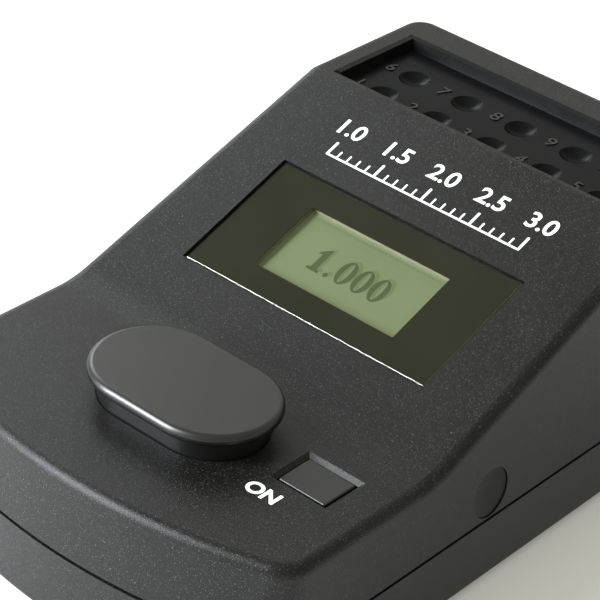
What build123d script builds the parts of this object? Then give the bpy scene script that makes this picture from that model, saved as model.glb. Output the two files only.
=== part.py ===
"""Desk-top refractive index meter for cut gemstones.

A black two-part case carries a flat front deck, a sloped display panel and a rear deck with a
stone tray. A stone is laid on the aperture of the test adapter in the front deck, under a lift-off
light cap. The ON button beside the cap works a tact switch. The batteries sit in a bay in the base,
behind a door that slides out through the rear wall.

Millimetres. The origin is on the table, under the middle of the case. +X is the user's right,
-Y is the front and +Z is up.
"""

import os
from math import cos, radians, sin, sqrt, tan

from build123d import *

os.makedirs("parts", exist_ok=True)

# ---------------------------------------------------------------- driving dimensions
# Case
BODY_WIDTH = 102.0          # at the parting line, where the case is widest
FRONT_DECK_HEIGHT = 36.5    # table to the flat front deck
FRONT_DECK_DEPTH = 52.5     # front wall to the crease where the panel starts to rise
PANEL_LENGTH = 77.2         # along the slope, from the crease to the ridge
PANEL_TILT = 20.6           # degrees
REAR_MARGIN = 13.9          # rear edge of the tray to the rear wall
PARTING_HEIGHT = 18.8       # table to the line between the two case halves
PARTING_GAP = 0.8           # dark reveal between the halves
WALL = 2.5
UPPER_DRAFT = 4.75          # degrees
LOWER_DRAFT = 3.0           # degrees
FRONT_BOW = 133.0           # radius of the bowed front wall, seen from above
CORNER_ROUND = 9.0          # upright corners
EDGE_ROUND = 2.6            # along the top edges
BASE_ROUND = 1.5            # along the bottom edges
CREASE_ROUND = 25.0
RIDGE_ROUND = 0.5
LIP_HEIGHT = 2.4            # tongue of the lower half inside the upper half
LIP_CLEARANCE = 0.15

# Feet and case screws
FOOT_RADIUS = 6.0
FOOT_STAND = 1.5            # base of the case above the table
FOOT_SOCKET = 0.8
FOOT_FROM_SIDE = 12.0
FOOT_FROM_FRONT = 19.0
FOOT_FROM_REAR = 15.0
CASE_SCREW_FROM_SIDE = 8.5
CASE_SCREW_FRONT_Y = 4.0    # behind the crease
CASE_SCREW_REAR_Y = 10.0    # in front of the ridge
UPPER_BOSS_RADIUS = 3.6
LOWER_BOSS_RADIUS = 4.6

# Window and display, laid out on the sloped panel
WINDOW_WIDTH = 65.0
WINDOW_HEIGHT = 33.1
WINDOW_FROM_CREASE = 17.6
WINDOW_GAP = 0.25
WINDOW_SINK = 0.1           # lens face below the panel
LENS_THICKNESS = 0.6
MASK_THICKNESS = 0.2
VIEW_WIDTH = 37.5
VIEW_HEIGHT = 19.0
BEZEL_FACE = 1.5
BEZEL_WALL = 1.2
LCD_WIDTH = 44.0
LCD_HEIGHT = 25.5
LCD_GLASS = 1.1
LCD_CONTACT_LEDGE = 2.6
BACKLIGHT_THICKNESS = 1.6
BOARD_THICKNESS = 1.6
POST_ROOT = 0.3             # how far a post runs into the wall it stands on
DISPLAY_BOARD_DEPTH = 8.0   # panel face to the board, square to the panel
DISPLAY_BOARD_WIDTH = 60.0
DISPLAY_BOARD_HEIGHT = 44.0

# Light cap and test adapter on the front deck
CAP_FROM_CREASE = 18.1
CAP_HALF_STRAIGHT = 7.4     # the cap, its groove and the adapter share this straight part
CAP_RADIUS = 14.2
CAP_HEIGHT = 7.1
CAP_PLATE = 2.5
CAP_EDGE_ROUND = 1.3
CAP_OVERHANG = 2.3          # plate beyond the skirt
CAP_SKIRT_WALL = 1.6
CAP_ROOF = 1.5
CAP_GROOVE_DEPTH = 0.8
CAP_GROOVE_GAP = 0.35
CAP_SEAT_GAP = 0.1
LINING_THICKNESS = 0.5
ADAPTER_GAP = 1.6           # adapter to the inside of the skirt
ADAPTER_THICKNESS = 1.4
ADAPTER_PROUD = 0.3
APERTURE_RADIUS = 1.1
PROBE_WINDOW_RADIUS = 2.4
PROBE_WINDOW_THICKNESS = 0.8
ADAPTER_SCREW_X = 12.0
ADAPTER_RING = 6.0          # outer radius of the groove around the aperture
SOURCE_ANGLE = 28.0         # degrees, light source and sensor from the upright
SOURCE_START = 7.2          # along the sight line, from the deck's underside to the diode's tip
DIODE_RADIUS = 2.5
DIODE_LEAD_START = 12.6     # along the sight line
DIODE_LEAD_Y = 1.27         # half the lead pitch

# ON button
BUTTON_WIDTH = 11.8
BUTTON_LENGTH = 9.4
BUTTON_X = 33.3
BUTTON_FROM_CREASE = 16.1
BUTTON_SINK = 0.5
BUTTON_GAP = 0.3
BUTTON_CHAMFER = 0.9
BUTTON_FLANGE = 0.9
BUTTON_TRAVEL = 0.6

# Stone tray
WELL_PITCH_X = 15.0
WELL_PITCH_Y = 11.3
WELLS_PER_ROW = 5
WELL_RADIUS = 3.7
WELL_DEPTH = 1.6
WELL_FROM_RIDGE = 4.9
TRAY_DROP = 2.2             # tray floor below the rear deck
TRAY_FLOOR = 3.2
TRAY_SIDE_MARGIN = 9.5      # last well to the edge of the floor
TRAY_REAR_MARGIN = 10.8     # last row to the edge of the floor
TRAY_SLOPE = 0.6
TRAY_FLANGE = 1.5
TRAY_FLANGE_THICKNESS = 1.2
TRAY_PROUD = 0.25
RIDGE_WALL = 1.2

# Side plugs
PLUG_RADIUS = 5.5
PLUG_FROM_CREASE = 19.0
PLUG_HEIGHT = 25.1
PLUG_SINK = 0.35
PLUG_DISH = 0.7
PLUG_FLANGE = 0.9           # retaining flange inside the wall

# Batteries and their door
CELL_RADIUS = 5.25
CELL_LENGTH = 44.5
CELL_COUNT = 3
CELL_GAP = 0.5
SPRING_LENGTH = 5.7
CONTACT_THICKNESS = 0.4
BAY_WALL = 1.5
BAY_CLEARANCE = 0.5
BAY_FROM_REAR = 15.0
DOOR_GAP = 0.3
DOOR_TONGUE = 2.0
DOOR_LEDGE = 1.3
DOOR_LIP_HEIGHT = 7.7

# Socket on the rear wall
SOCKET_X = 38.0
SOCKET_HEIGHT = 13.6
SOCKET_WIDTH = 7.7
SOCKET_TALL = 3.9
SOCKET_LENGTH = 9.0
SOCKET_SHEET = 0.4
POWER_SCREW_X = 6.0         # from the socket's middle

# ---------------------------------------------------------------- derived places
TILT_SIN = sin(radians(PANEL_TILT))
TILT_COS = cos(radians(PANEL_TILT))
PANEL_RUN = PANEL_LENGTH * TILT_COS
TRAY_FLOOR_DEPTH = WELL_FROM_RIDGE + WELL_PITCH_Y + TRAY_REAR_MARGIN
TRAY_DEPTH = TRAY_FLOOR_DEPTH + TRAY_SLOPE + TRAY_FLANGE
BODY_DEPTH = FRONT_DECK_DEPTH + PANEL_RUN + TRAY_DEPTH + REAR_MARGIN
FRONT_Y = -BODY_DEPTH / 2
REAR_Y = BODY_DEPTH / 2
CREASE_Y = FRONT_Y + FRONT_DECK_DEPTH
RIDGE_Y = CREASE_Y + PANEL_RUN
RIDGE_Z = FRONT_DECK_HEIGHT + PANEL_LENGTH * TILT_SIN
BASE_Z = FOOT_STAND
FLOOR_Z = BASE_Z + WALL
DECK_UNDERSIDE = FRONT_DECK_HEIGHT - WALL
UPPER_RIM = PARTING_HEIGHT + PARTING_GAP / 2
LOWER_RIM = PARTING_HEIGHT - PARTING_GAP / 2

PANEL = Plane(
    origin=(0, CREASE_Y, FRONT_DECK_HEIGHT), x_dir=(1, 0, 0), z_dir=(0, -TILT_SIN, TILT_COS)
).location
WINDOW_S = WINDOW_FROM_CREASE + WINDOW_HEIGHT / 2
LENS_BACK = WINDOW_SINK + LENS_THICKNESS
MASK_BACK = LENS_BACK + MASK_THICKNESS
LCD_FACE = MASK_BACK + BEZEL_FACE
BEZEL_WIDTH = LCD_WIDTH + 2 * BEZEL_WALL + 0.4
BEZEL_HEIGHT = LCD_HEIGHT + 2 * BEZEL_WALL + 0.4
DISPLAY_BOARD_BACK = DISPLAY_BOARD_DEPTH + BOARD_THICKNESS
BOARD_SCREW_X = DISPLAY_BOARD_WIDTH / 2 - 3.0
BOARD_SCREW_S = DISPLAY_BOARD_HEIGHT / 2 - 3.0

CAP_Y = CREASE_Y - CAP_FROM_CREASE
CAP_SKIRT_RADIUS = CAP_RADIUS - CAP_OVERHANG
ADAPTER_RADIUS = CAP_SKIRT_RADIUS - CAP_SKIRT_WALL - ADAPTER_GAP
BUTTON_Y = CREASE_Y - BUTTON_FROM_CREASE
SWITCH_TOP = DECK_UNDERSIDE - 4.5
SWITCH_HEIGHT = 3.5
SWITCH_PLUNGER_RADIUS = 1.7
SWITCH_PLUNGER_STAND = 1.4
SWITCH_PLUNGER_ROOT = 1.0
BUTTON_BOARD_TOP = SWITCH_TOP - SWITCH_HEIGHT
BUTTON_POST_Y = BUTTON_LENGTH / 2 + BUTTON_FLANGE + 4.0

OPTIC_TOP = DECK_UNDERSIDE
OPTIC_HEIGHT = 12.0
OPTIC_WIDTH = 26.0
OPTIC_DEPTH = 16.0
OPTIC_EAR_X = 17.5
OPTIC_BOSS = 4.0
OPTIC_EAR = 3.0
OPTIC_SCREW_X = 8.0
OPTIC_SCREW_Y = CAP_Y + 5.5
OPTIC_BOARD_TOP = OPTIC_TOP - OPTIC_HEIGHT - 1.0

TRAY_HALF = WELL_PITCH_X * (WELLS_PER_ROW - 1) / 2 + TRAY_SIDE_MARGIN
TRAY_FRONT_Y = RIDGE_Y + RIDGE_WALL + 0.15
TRAY_FLOOR_REAR_Y = RIDGE_Y + TRAY_FLOOR_DEPTH
TRAY_TOP = RIDGE_Z + TRAY_PROUD
TRAY_FLOOR_Z = RIDGE_Z - TRAY_DROP

CELL_PITCH = 2 * CELL_RADIUS + CELL_GAP
BAY_LENGTH = CELL_LENGTH + SPRING_LENGTH + 2 * CONTACT_THICKNESS
BAY_DEPTH = CELL_PITCH * CELL_COUNT + BAY_CLEARANCE
BAY_REAR_Y = REAR_Y - BAY_FROM_REAR
CELL_Z = FLOOR_Z + 0.4 + CELL_RADIUS
BAY_CEILING = CELL_Z + CELL_RADIUS + BAY_CLEARANCE
DOOR_HALF = BAY_LENGTH / 2 + 1.5
DOOR_FRONT_Y = BAY_REAR_Y - BAY_DEPTH - 1.5
DOOR_LEDGE_Z = BASE_Z + DOOR_LEDGE
POWER_BOARD_Y = REAR_Y - 12.5
POWER_SCREW_Y = POWER_BOARD_Y - 2.5
POWER_BOARD_TOP = SOCKET_HEIGHT - SOCKET_TALL / 2


# ---------------------------------------------------------------- shared shapes
STANDING = (Align.CENTER, Align.CENTER, Align.MIN)
HANGING = (Align.CENTER, Align.CENTER, Align.MAX)
FROM_MOUTH = (Align.CENTER, Align.MAX, Align.CENTER)


def on_panel(x, s, depth):
    """Place on the panel: x across, s up the slope from the crease, depth below its face."""
    return PANEL * Pos(x, s, -depth)


def block(width, length, height, at, align=Align.MIN):
    """Box centred in plan on at, standing on it or hanging from it."""
    return Location(at) * Box(width, length, height, align=(Align.CENTER, Align.CENTER, align))


def rod(radius, height, at, align=Align.MIN):
    """Upright cylinder standing on at, or hanging from it."""
    return Location(at) * Cylinder(radius, height, align=(Align.CENTER, Align.CENTER, align))


def slab(x0, x1, y0, y1, z0, z1):
    """Box between two corners."""
    size = Box(x1 - x0, y1 - y0, z1 - z0, align=(Align.MIN, Align.MIN, Align.MIN))
    return Pos(x0, y0, z0) * size


def oval(radius, height, z):
    """Upright stadium prism over the test point, with the cap's straight part."""
    outline = SlotCenterToCenter(2 * CAP_HALF_STRAIGHT, 2 * radius)
    return extrude(Pos(0, CAP_Y, z) * outline, height)


def at_both_sides(points):
    """The given (x, y) points and their mirror images across the middle."""
    return [(side * x, y) for side in (-1, 1) for x, y in points]


def case_plan(inset=0.0):
    """Outline of the case at the parting line, drawn in by inset all round."""
    half = BODY_WIDTH / 2 - inset
    front = FRONT_Y + inset
    rear = REAR_Y - inset
    bow = FRONT_BOW - inset
    corner_y = front + bow - sqrt(bow**2 - half**2)
    bowed_front = ThreePointArc((-half, corner_y), (0, front), (half, corner_y))
    sides = Polyline((half, corner_y), (half, rear), (-half, rear), (-half, corner_y))
    outline = make_face([bowed_front, sides])
    return fillet(outline.vertices(), CORNER_ROUND - inset)


def side_profile(drop=0.0):
    """Side view of the case under its decks and panel, lowered by drop square to each face."""
    shift = drop * tan(radians(PANEL_TILT / 2))
    beyond = 10.0
    crease = (CREASE_Y + shift, FRONT_DECK_HEIGHT - drop)
    ridge = (RIDGE_Y + shift, RIDGE_Z - drop)
    outline = Polyline(
        (FRONT_Y - beyond, 0),
        (FRONT_Y - beyond, crease[1]),
        crease,
        ridge,
        (REAR_Y + beyond, ridge[1]),
        (REAR_Y + beyond, 0),
        close=True,
    )
    face = make_face(outline)
    crease_corner = face.vertices().sort_by_distance(Vector(*crease))[0]
    face = fillet(crease_corner, CREASE_ROUND + drop)
    if drop == 0:
        ridge_corner = face.vertices().sort_by_distance(Vector(*ridge))[0]
        face = fillet(ridge_corner, RIDGE_ROUND)
    return extrude(Plane.YZ * face, BODY_WIDTH, both=True)


def upper_block(inset=0.0):
    """Drafted block of the upper half under its decks and panel."""
    plan = Pos(0, 0, UPPER_RIM) * case_plan(inset)
    walls = extrude(plan, RIDGE_Z, taper=UPPER_DRAFT)
    return walls & side_profile(inset)


def lower_block(inset=0.0):
    """Drafted block of the lower half, from its rim down to its base or its floor."""
    plan = Pos(0, 0, LOWER_RIM) * case_plan(inset)
    return extrude(plan, LOWER_RIM - BASE_Z - inset, dir=(0, 0, -1), taper=LOWER_DRAFT)


def rim_edges(shape):
    """Edges where the decks and the panel meet the walls."""
    seen = {}
    for face in shape.faces():
        if face.normal_at().Z > 0.8:
            for edge in face.edges():
                middle = edge.position_at(0.5)
                key = (round(middle.X, 3), round(middle.Y, 3), round(middle.Z, 3))
                seen.setdefault(key, []).append(edge)
    return [edges[0] for edges in seen.values() if len(edges) == 1]


def lower_shell_outside():
    """The lower half as a full block, with its rounded bottom edge."""
    outside = lower_block()
    bottom = outside.faces().sort_by(Axis.Z)[0]
    return fillet(bottom.edges(), BASE_ROUND)


def plug_place(side):
    """Frame on the side wall at a plug, with its Z square to the drafted wall."""
    draft = radians(UPPER_DRAFT)
    x = BODY_WIDTH / 2 - tan(draft) * (PLUG_HEIGHT - UPPER_RIM)
    return Plane(
        origin=(side * x, CREASE_Y + PLUG_FROM_CREASE, PLUG_HEIGHT),
        x_dir=(0, 1, 0),
        z_dir=(side * cos(draft), 0, sin(draft)),
    ).location


def case_screw_places():
    x = BODY_WIDTH / 2 - CASE_SCREW_FROM_SIDE
    return at_both_sides([(x, CREASE_Y + CASE_SCREW_FRONT_Y), (x, RIDGE_Y - CASE_SCREW_REAR_Y)])


def foot_places():
    x = BODY_WIDTH / 2 - FOOT_FROM_SIDE
    return at_both_sides([(x, FRONT_Y + FOOT_FROM_FRONT), (x, REAR_Y - FOOT_FROM_REAR)])


def well_places():
    first = -WELL_PITCH_X * (WELLS_PER_ROW - 1) / 2
    rows = (RIDGE_Y + WELL_FROM_RIDGE, RIDGE_Y + WELL_FROM_RIDGE + WELL_PITCH_Y)
    return [(first + WELL_PITCH_X * i, y) for y in rows for i in range(WELLS_PER_ROW)]


def board_screw_places():
    return at_both_sides([(BOARD_SCREW_X, WINDOW_S + s) for s in (-BOARD_SCREW_S, BOARD_SCREW_S)])


def self_tapper(radius, length, head_radius, head_height):
    """Pan-head screw standing on its head's underside, pointing up."""
    head = rod(head_radius, head_height, (0, 0, 0), Align.MAX)
    head = fillet(head.edges().sort_by(Axis.Z)[0], head_height * 0.4)
    slot = Pos(0, 0, -head_height) * Box(head_radius * 1.1, 0.5, 0.8)
    cross = Pos(0, 0, -head_height) * Box(0.5, head_radius * 1.1, 0.8)
    shank = rod(radius, length, (0, 0, 0))
    shank = chamfer(shank.edges().sort_by(Axis.Z)[-1], radius * 0.5)
    return head + shank - slot - cross


# ---------------------------------------------------------------- case
def upper_case():
    outside = upper_block()
    outside = fillet(rim_edges(outside), EDGE_ROUND)
    shell = outside - upper_block(WALL)
    rabbet_top = UPPER_RIM - PARTING_GAP + LIP_HEIGHT + LIP_CLEARANCE
    rabbet = extrude(Pos(0, 0, UPPER_RIM) * case_plan(WALL / 2), rabbet_top - UPPER_RIM)
    rabbet -= extrude(Pos(0, 0, UPPER_RIM) * case_plan(2 * WALL), rabbet_top - UPPER_RIM)
    shell -= rabbet

    # Window pocket with its ledge, and the opening for the display bezel
    pocket = on_panel(0, WINDOW_S, MASK_BACK) * Box(
        WINDOW_WIDTH + 2 * WINDOW_GAP,
        WINDOW_HEIGHT + 2 * WINDOW_GAP,
        2 * MASK_BACK,
        align=STANDING,
    )
    bezel_hole = on_panel(0, WINDOW_S, WALL / 2) * Box(
        BEZEL_WIDTH + 0.6, BEZEL_HEIGHT + 0.6, 2 * WALL
    )
    shell -= pocket + bezel_hole

    # Light-cap groove, adapter seat and light path
    groove = oval(CAP_SKIRT_RADIUS + CAP_GROOVE_GAP, 2 * WALL, FRONT_DECK_HEIGHT - CAP_GROOVE_DEPTH)
    inner = CAP_SKIRT_RADIUS - CAP_SKIRT_WALL - CAP_GROOVE_GAP
    groove -= oval(inner, 3 * WALL, FRONT_DECK_HEIGHT - WALL)
    seat_depth = ADAPTER_THICKNESS - ADAPTER_PROUD
    seat = oval(ADAPTER_RADIUS + 0.15, WALL, FRONT_DECK_HEIGHT - seat_depth)
    light_path = rod(PROBE_WINDOW_RADIUS + 0.4, 2 * WALL, (0, CAP_Y, DECK_UNDERSIDE - 1))
    shell -= groove + seat + light_path
    for side in (-1, 1):
        pilot = (side * ADAPTER_SCREW_X, CAP_Y, FRONT_DECK_HEIGHT - seat_depth)
        shell -= rod(0.95, WALL, pilot, Align.MAX)

    # Button opening with its chamfered rim
    hole_width = BUTTON_WIDTH + 2 * BUTTON_GAP
    hole_length = BUTTON_LENGTH + 2 * BUTTON_GAP
    shell -= block(hole_width, hole_length, 4 * WALL, (BUTTON_X, BUTTON_Y, DECK_UNDERSIDE - 1))
    rim_low = Pos(BUTTON_X, BUTTON_Y, FRONT_DECK_HEIGHT - BUTTON_CHAMFER)
    rim_high = Pos(BUTTON_X, BUTTON_Y, FRONT_DECK_HEIGHT)
    wide = Rectangle(hole_width + 2 * BUTTON_CHAMFER, hole_length + 2 * BUTTON_CHAMFER)
    shell -= loft([rim_low * Rectangle(hole_width, hole_length), rim_high * wide])

    # Tray opening with the rebate for its flange
    opening_x = TRAY_HALF + TRAY_SLOPE + 0.2
    opening_rear = TRAY_FLOOR_REAR_Y + TRAY_SLOPE + 0.2
    opening_front = RIDGE_Y + RIDGE_WALL
    shell -= slab(
        -opening_x, opening_x, opening_front, opening_rear, RIDGE_Z - 3 * WALL, RIDGE_Z + WALL
    )
    rebate_x = opening_x + TRAY_FLANGE
    rebate_z = TRAY_TOP - TRAY_FLANGE_THICKNESS - 0.05
    shell -= slab(
        -rebate_x, rebate_x, opening_front, opening_rear + TRAY_FLANGE, rebate_z, RIDGE_Z + WALL
    )

    # Side plugs
    for side in (-1, 1):
        shell -= plug_place(side) * Cylinder(PLUG_RADIUS + 0.1, 4 * WALL)

    # Bosses: case screws, display board, button board, optic block
    keep_inside = upper_block(WALL / 2)
    boss_foot = LOWER_RIM + 1.2
    for x, y in case_screw_places():
        boss = rod(UPPER_BOSS_RADIUS, RIDGE_Z, (x, y, boss_foot)) & keep_inside
        shell += boss
        shell -= rod(1.5, 12.0, (x, y, boss_foot))
    for x, s in board_screw_places():
        post_length = DISPLAY_BOARD_DEPTH - WALL + POST_ROOT
        shell += on_panel(x, s, DISPLAY_BOARD_DEPTH) * Cylinder(
            2.6, post_length, align=STANDING
        )
        shell -= on_panel(x, s, DISPLAY_BOARD_DEPTH) * Cylinder(
            1.05, 5.0, align=STANDING
        )
    for side in (-1, 1):
        button_post = (BUTTON_X, BUTTON_Y + side * BUTTON_POST_Y, BUTTON_BOARD_TOP)
        shell += rod(2.2, DECK_UNDERSIDE + WALL / 2 - BUTTON_BOARD_TOP, button_post)
        shell -= rod(0.95, 5.0, button_post)
        optic_boss = (side * OPTIC_EAR_X, CAP_Y, DECK_UNDERSIDE - OPTIC_BOSS)
        shell += rod(2.8, OPTIC_BOSS + WALL / 4, optic_boss)
        shell -= rod(0.95, OPTIC_BOSS - 0.5, optic_boss)
    return shell


def lower_case():
    shell = lower_shell_outside() - lower_block(WALL)
    lip_outside = case_plan(WALL / 2 + LIP_CLEARANCE)
    lip = extrude(Pos(0, 0, LOWER_RIM - WALL) * lip_outside, LIP_HEIGHT + WALL)
    lip -= extrude(Pos(0, 0, 0) * case_plan(WALL), RIDGE_Z)
    for side in (-1, 1):
        lip -= plug_place(side) * Cylinder(PLUG_RADIUS + PLUG_FLANGE + 0.2, 8 * WALL)
    shell += lip

    # Battery bay, and the strips over the door's tongues
    strip_x = DOOR_HALF + DOOR_TONGUE + 2.5
    strip_rear = REAR_Y - WALL / 2 - tan(radians(LOWER_DRAFT)) * (LOWER_RIM - BASE_Z)
    strip_z = FLOOR_Z + 0.1
    shell += slab(-strip_x, strip_x, DOOR_FRONT_Y - 2, strip_rear, FLOOR_Z - 0.5, strip_z + 1.4)
    bay_x = BAY_LENGTH / 2
    bay_front = BAY_REAR_Y - BAY_DEPTH
    shell += slab(
        -bay_x - BAY_WALL,
        bay_x + BAY_WALL,
        bay_front - BAY_WALL,
        BAY_REAR_Y + BAY_WALL,
        FLOOR_Z,
        BAY_CEILING + BAY_WALL,
    )
    shell -= slab(-bay_x, bay_x, bay_front, BAY_REAR_Y, 0, BAY_CEILING)
    shell -= door_space(DOOR_GAP)

    # Case screw bosses, counterbored from below
    for x, y in case_screw_places():
        shell += rod(LOWER_BOSS_RADIUS, LOWER_RIM - FLOOR_Z, (x, y, FLOOR_Z))
        shell -= rod(3.1, LOWER_RIM - BASE_Z - 3.0, (x, y, BASE_Z))
        shell -= rod(1.6, RIDGE_Z, (x, y, BASE_Z))

    # Foot sockets
    for x, y in foot_places():
        shell -= rod(FOOT_RADIUS + 0.1, FOOT_SOCKET, (x, y, BASE_Z))

    # Socket opening, and the posts of its board
    shell -= Pos(SOCKET_X, REAR_Y, SOCKET_HEIGHT) * Box(
        SOCKET_WIDTH + 0.5, 6 * WALL, SOCKET_TALL + 0.5
    )
    post_top = POWER_BOARD_TOP - BOARD_THICKNESS
    for side in (-1, 1):
        post = (SOCKET_X + side * POWER_SCREW_X, POWER_SCREW_Y, FLOOR_Z - 0.5)
        shell += rod(2.0, post_top - FLOOR_Z + 0.5, post)
        shell -= rod(0.8, 4.0, (post[0], post[1], post_top), Align.MAX)
    return shell


def door_space(gap):
    """Room of the battery door: a plate, two side tongues and a lip up the rear wall."""
    half = DOOR_HALF + gap
    front = DOOR_FRONT_Y - gap
    rear = REAR_Y + 10
    shy = 0.1 if gap else 0.0
    plate = slab(-half, half, front, rear, 0, FLOOR_Z + shy)
    tongues = slab(
        -half - DOOR_TONGUE, half + DOOR_TONGUE, front, rear, DOOR_LEDGE_Z - shy, FLOOR_Z + shy
    )
    lip_front = REAR_Y - WALL - tan(radians(LOWER_DRAFT)) * (LOWER_RIM - BASE_Z) - shy
    lip = slab(-half, half, lip_front, rear, 0, BASE_Z + DOOR_LIP_HEIGHT + gap)
    return plate + tongues + lip


def battery_door():
    door = lower_shell_outside() & door_space(0.0)
    rib_y = REAR_Y - 16.0
    for i in range(5):
        door -= Pos(0, rib_y - 2.4 * i, BASE_Z) * Box(16.0 - 2.4 * i, 1.0, 0.8)
    return door


def rubber_feet():
    feet = []
    for x, y in foot_places():
        foot = rod(FOOT_RADIUS, FOOT_STAND + FOOT_SOCKET - 0.02, (x, y, 0))
        feet.append(fillet(foot.edges().sort_by(Axis.Z)[0], 0.5))
    return Compound(feet)


def case_screws():
    screw = self_tapper(1.45, 10.0, 2.7, 2.0)
    return Compound([Pos(x, y, LOWER_RIM - 3.0) * screw for x, y in case_screw_places()])


def side_plugs():
    plugs = []
    dish_radius = (PLUG_RADIUS**2 + PLUG_DISH**2) / (2 * PLUG_DISH)
    for side in (-1, 1):
        stem = Pos(0, 0, -PLUG_SINK) * Cylinder(
            PLUG_RADIUS, WALL - PLUG_SINK + 1.2, align=HANGING
        )
        flange = Pos(0, 0, -WALL - 0.1) * Cylinder(
            PLUG_RADIUS + PLUG_FLANGE, 1.2, align=HANGING
        )
        dish = Pos(0, 0, dish_radius - PLUG_DISH - PLUG_SINK) * Sphere(dish_radius)
        plugs.append(plug_place(side) * (stem + flange - dish))
    return Compound(plugs)


# ---------------------------------------------------------------- window and display
def window_lens():
    plate = Box(WINDOW_WIDTH, WINDOW_HEIGHT, LENS_THICKNESS, align=STANDING)
    plate = fillet(plate.edges().filter_by(Axis.Z), 0.4)
    plate = chamfer(plate.faces().sort_by(Axis.Z)[-1].edges(), 0.25)
    return on_panel(0, WINDOW_S, LENS_BACK) * plate


def window_mask():
    outline = Rectangle(WINDOW_WIDTH - 0.2, WINDOW_HEIGHT - 0.2)
    outline -= Rectangle(VIEW_WIDTH, VIEW_HEIGHT)
    return on_panel(0, WINDOW_S, MASK_BACK) * extrude(outline, MASK_THICKNESS)


def lcd_bezel():
    depth = DISPLAY_BOARD_DEPTH - MASK_BACK
    body = extrude(RectangleRounded(BEZEL_WIDTH, BEZEL_HEIGHT, 1.0), depth)
    inner_width = BEZEL_WIDTH - 2 * BEZEL_WALL
    inner_height = BEZEL_HEIGHT - 2 * BEZEL_WALL
    body -= extrude(Rectangle(inner_width, inner_height), depth - BEZEL_FACE)
    body -= extrude(Rectangle(VIEW_WIDTH + 0.6, VIEW_HEIGHT + 0.6), depth)
    return on_panel(0, WINDOW_S, DISPLAY_BOARD_DEPTH) * body


def lcd_front_glass():
    glass = extrude(Rectangle(LCD_WIDTH, LCD_HEIGHT), LCD_GLASS)
    return on_panel(0, WINDOW_S, LCD_FACE + LCD_GLASS) * glass


def lcd_rear_glass():
    glass = extrude(Rectangle(LCD_WIDTH, LCD_HEIGHT - 2 * LCD_CONTACT_LEDGE), LCD_GLASS)
    return on_panel(0, WINDOW_S, LCD_FACE + 2 * LCD_GLASS) * glass


def backlight_panel():
    panel = extrude(Rectangle(LCD_WIDTH, LCD_HEIGHT - 2 * LCD_CONTACT_LEDGE), BACKLIGHT_THICKNESS)
    return on_panel(0, WINDOW_S, LCD_FACE + 2 * LCD_GLASS + BACKLIGHT_THICKNESS) * panel


def zebra_strips():
    top = LCD_FACE + LCD_GLASS
    height = DISPLAY_BOARD_DEPTH - top
    strip = Box(LCD_WIDTH - 2, LCD_CONTACT_LEDGE - 0.8, height, align=STANDING)
    offset = (LCD_HEIGHT - LCD_CONTACT_LEDGE) / 2 + 0.1
    places = (WINDOW_S - offset, WINDOW_S + offset)
    return Compound([on_panel(0, s, DISPLAY_BOARD_DEPTH) * strip for s in places])


def display_board():
    board = RectangleRounded(DISPLAY_BOARD_WIDTH, DISPLAY_BOARD_HEIGHT, 2.0)
    board = extrude(board, BOARD_THICKNESS)
    board = on_panel(0, WINDOW_S, DISPLAY_BOARD_BACK) * board
    for x, s in board_screw_places():
        board -= on_panel(x, s, DISPLAY_BOARD_BACK) * Cylinder(1.2, 4 * BOARD_THICKNESS)
    return board


def under_board(x, s, shape, thickness):
    """A component hanging under the display board, its seat against the board."""
    return on_panel(x, WINDOW_S + s, DISPLAY_BOARD_BACK + thickness / 2) * shape


def controller_chip():
    body = chamfer(Box(10, 10, 1.4).edges().filter_by(Axis.Z), 0.6)
    legs = Pos(0, 0, 0.5) * (Box(12.4, 8.4, 0.25) + Box(8.4, 12.4, 0.25))
    return under_board(4, 2, body + legs, 1.4)


def board_components():
    parts = []
    for i in range(6):
        parts.append(under_board(-22 + 4 * i, 12, Box(2.0, 1.25, 0.6), 0.6))
        parts.append(under_board(-22 + 4 * i, -9, Box(3.2, 1.6, 0.6), 0.6))
    for x in (17, 22):
        parts.append(under_board(x, 9, Cylinder(2.0, 5.0), 5.0))
    parts.append(under_board(15, -6, Box(11.0, 4.6, 3.5), 3.5))
    parts.append(under_board(0, -17, Box(9.0, 3.0, 2.6), 2.6))
    parts.append(under_board(-24, 2, Box(5.0, 7.0, 3.0), 3.0))
    return Compound(parts)


def buzzer():
    can = Cylinder(6.0, 6.5)
    can = fillet(can.edges().sort_by(Axis.Z)[0], 0.5)
    can -= Pos(0, 0, -3.25) * Cylinder(1.0, 3.0)
    return under_board(-13, 1, can, 6.5)


def display_board_screws():
    screw = self_tapper(1.0, 5.5, 2.0, 1.4)
    return Compound([on_panel(x, s, DISPLAY_BOARD_BACK) * screw for x, s in board_screw_places()])


# ---------------------------------------------------------------- light cap and optics
def light_cap():
    low = FRONT_DECK_HEIGHT - CAP_GROOVE_DEPTH + CAP_SEAT_GAP
    top = FRONT_DECK_HEIGHT + CAP_HEIGHT
    plate = oval(CAP_RADIUS, CAP_PLATE, top - CAP_PLATE)
    plate = fillet(plate.faces().sort_by(Axis.Z)[-1].edges(), CAP_EDGE_ROUND)
    plate = fillet(plate.faces().sort_by(Axis.Z)[0].edges(), CAP_PLATE - CAP_EDGE_ROUND - 0.3)
    cap = plate + oval(CAP_SKIRT_RADIUS, top - CAP_PLATE - low + 0.5, low)
    cap -= oval(CAP_SKIRT_RADIUS - CAP_SKIRT_WALL, top - CAP_ROOF - low, low)
    return cap


def cap_lining():
    ceiling = FRONT_DECK_HEIGHT + CAP_HEIGHT - CAP_ROOF
    radius = CAP_SKIRT_RADIUS - CAP_SKIRT_WALL - 0.2
    return oval(radius, LINING_THICKNESS, ceiling - LINING_THICKNESS)


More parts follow.
